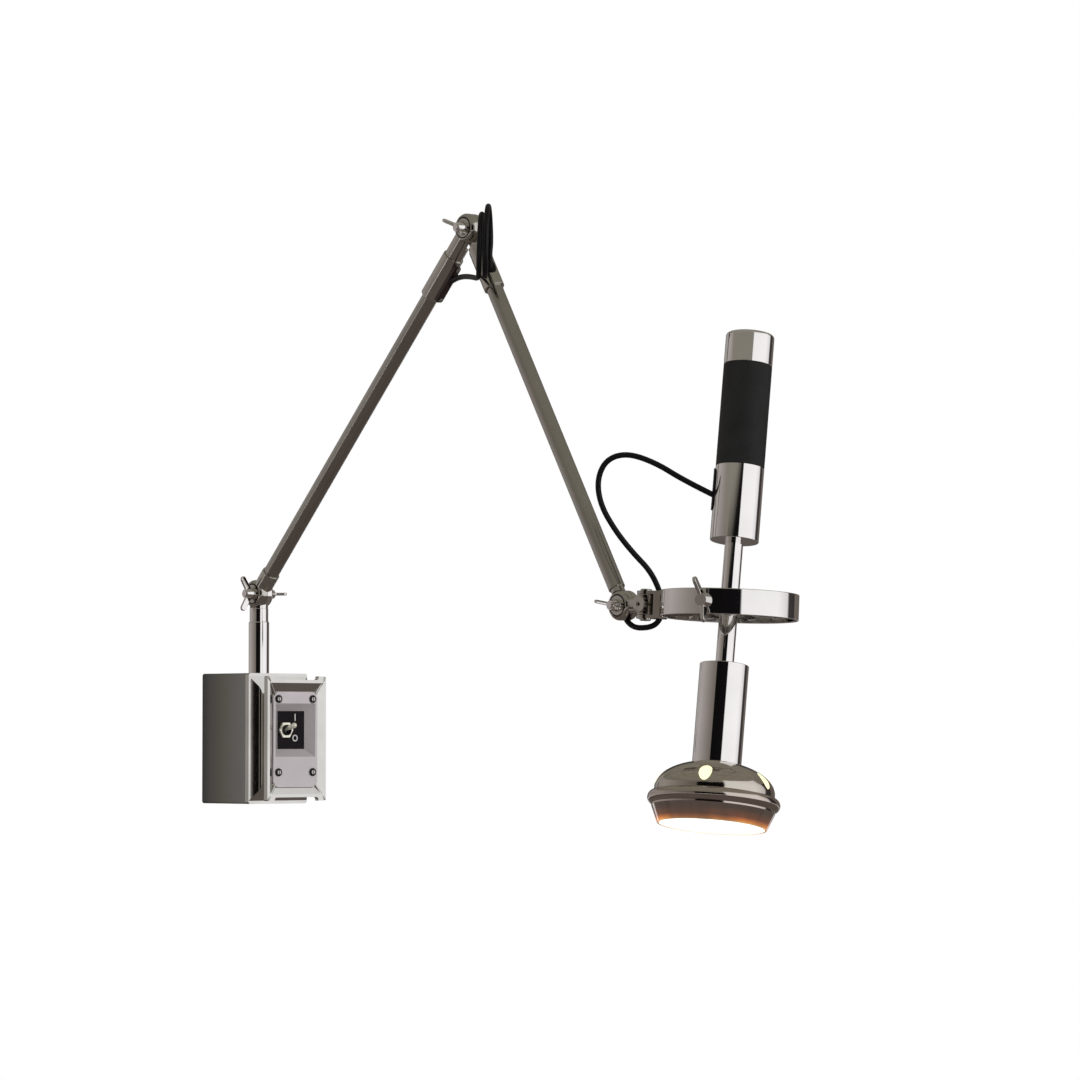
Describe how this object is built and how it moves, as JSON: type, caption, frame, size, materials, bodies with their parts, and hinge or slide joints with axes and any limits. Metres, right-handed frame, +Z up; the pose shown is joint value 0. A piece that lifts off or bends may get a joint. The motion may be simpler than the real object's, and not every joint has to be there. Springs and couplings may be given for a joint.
{
  "type": "wall spotlight",
  "caption": "Jointed wall spotlight: switch box, swivel post, two tube arms with wing nut knuckles, gimbal ring and a handled lamp head.",
  "frame": {"origin": "centre of the switch box's back face, on the wall", "axes": "+X to the right along the wall, -Y out into the room, +Z up"},
  "size_m": [0.1456, 0.7074, 0.5657],
  "materials": {
    "box_paint": "satin dark grey paint on folded steel",
    "cast_aluminium": "satin cast aluminium",
    "plate_aluminium": "finely brushed aluminium",
    "black_plastic": "matte black moulded plastic",
    "white_mark": "printed white marks",
    "nickel": "polished dark nickel plate",
    "steel": "bright steel",
    "bright_chrome": "mirror chrome plate",
    "black_grip": "matte black sleeve",
    "smoked_chrome": "dark mirror plate on spun metal",
    "glow": "lit translucent glass",
    "frosted_glass": "frosted glass, lit from behind",
    "cable_black": "black rubber sheath",
    "sink_aluminium": "plain extruded aluminium"
  },
  "bodies": {
    "base": {"box_shell": "box_paint", "supply_grommet": "black_plastic", "driver": "black_plastic", "terminal_block": "black_plastic", "box_wire": "cable_black", "cover_casting": "cast_aluminium", "face_plate": "plate_aluminium", "face_plate_screws": "steel", "switch_panel": "black_plastic", "switch_marks": "white_mark", "switch_body": "black_plastic", "switch_nut": "steel", "post": "bright_chrome", "post_nut": "steel"},
    "toggle": {"toggle_lever": "steel"},
    "stem": {"swivel_stem": "nickel", "stem_clip": "steel", "shoulder_wing_bolt": "nickel"},
    "shoulder_nut": {"shoulder_wing_nut": "nickel"},
    "lower_arm": {"lower_foot": "nickel", "lower_tube": "nickel", "lower_wire": "cable_black", "lower_head": "nickel", "cable_saddle": "black_plastic", "saddle_screws": "steel", "elbow_bolt": "nickel", "elbow_cable": "cable_black"},
    "elbow_nut": {"elbow_wing_nut": "nickel"},
    "upper_arm": {"upper_head": "nickel", "entry_grommet": "black_plastic", "upper_tube": "nickel", "upper_wire": "cable_black", "upper_foot": "nickel", "wrist_bolt": "nickel"},
    "wrist_nut": {"wrist_wing_nut": "nickel"},
    "wrist": {"wrist_eye": "nickel", "pan_lock_screw": "nickel", "head_cable": "cable_black"},
    "ring": {"ring_lug": "nickel", "pan_pin": "nickel", "ring_band": "bright_chrome", "ring_pivot_screw": "nickel"},
    "ring_wing": {"ring_wing_screw": "nickel"},
    "gimbal": {"crossbar": "nickel", "hub_pins": "nickel"},
    "head": {"hub": "nickel", "head_rod": "bright_chrome", "handle_tube": "bright_chrome", "port_grommet": "black_plastic", "grip": "black_grip", "cap": "bright_chrome", "lamp_house": "bright_chrome", "heat_sink": "sink_aluminium", "lamp": "glow", "shade": "smoked_chrome", "vent_glasses": "glow", "shade_rim": "smoked_chrome", "lens": "frosted_glass", "lens_gasket": "black_plastic", "head_wire": "cable_black"}
  },
  "joints": [
    {"name": "toggle_throw", "type": "hinge", "parent": "base", "child": "toggle", "pos_m": [-0.007, -0.0879, 0.008], "axis": [1, 0, 0], "range_deg": [0, 34]},
    {"name": "stem_swivel", "type": "hinge", "parent": "base", "child": "stem", "pos_m": [0, -0.041, 0.12], "axis": [0, 0, 1], "range_deg": [-75, 75]},
    {"name": "shoulder_nut_turn", "type": "hinge", "parent": "stem", "child": "shoulder_nut", "pos_m": [0, -0.041, 0.1383], "axis": [1, 0, 0], "range_deg": [-150, 150]},
    {"name": "shoulder_lean", "type": "hinge", "parent": "stem", "child": "lower_arm", "pos_m": [0, -0.041, 0.1383], "axis": [1, 0, 0], "range_deg": [-35, 40]},
    {"name": "elbow_nut_turn", "type": "hinge", "parent": "lower_arm", "child": "elbow_nut", "pos_m": [0, -0.34215, 0.46511], "axis": [1, 0, 0], "range_deg": [-150, 150]},
    {"name": "elbow_fold", "type": "hinge", "parent": "lower_arm", "child": "upper_arm", "pos_m": [0, -0.34215, 0.46511], "axis": [1, 0, 0], "range_deg": [-55, 20], "deforming": ["elbow_cable"]},
    {"name": "wrist_nut_turn", "type": "hinge", "parent": "upper_arm", "child": "wrist_nut", "pos_m": [0, -0.54373, 0.11665], "axis": [1, 0, 0], "range_deg": [-150, 150]},
    {"name": "wrist_tilt", "type": "hinge", "parent": "upper_arm", "child": "wrist", "pos_m": [0, -0.54373, 0.11665], "axis": [1, 0, 0], "range_deg": [-40, 40], "deforming": ["head_cable"]},
    {"name": "ring_pan", "type": "hinge", "parent": "wrist", "child": "ring", "pos_m": [0, -0.57103, 0.11665], "axis": [0.0523, 0, 0.9986], "range_deg": [-38, 35], "deforming": ["head_cable"]},
    {"name": "ring_wing_turn", "type": "hinge", "parent": "ring", "child": "ring_wing", "pos_m": [-0.02318, -0.66655, 0.11787], "axis": [0.9094, 0.4131, -0.0477], "range_deg": [-150, 150]},
    {"name": "gimbal_tilt", "type": "hinge", "parent": "ring", "child": "gimbal", "pos_m": [0.03193, -0.64152, 0.11498], "axis": [0.9094, 0.4131, -0.0477], "range_deg": [-25, 25], "deforming": ["head_cable"]},
    {"name": "head_swing", "type": "hinge", "parent": "gimbal", "child": "head", "pos_m": [0.03193, -0.64152, 0.11498], "axis": [-0.4125, 0.9107, 0.0216], "range_deg": [-25, 18], "deforming": ["head_cable"]}
  ]
}
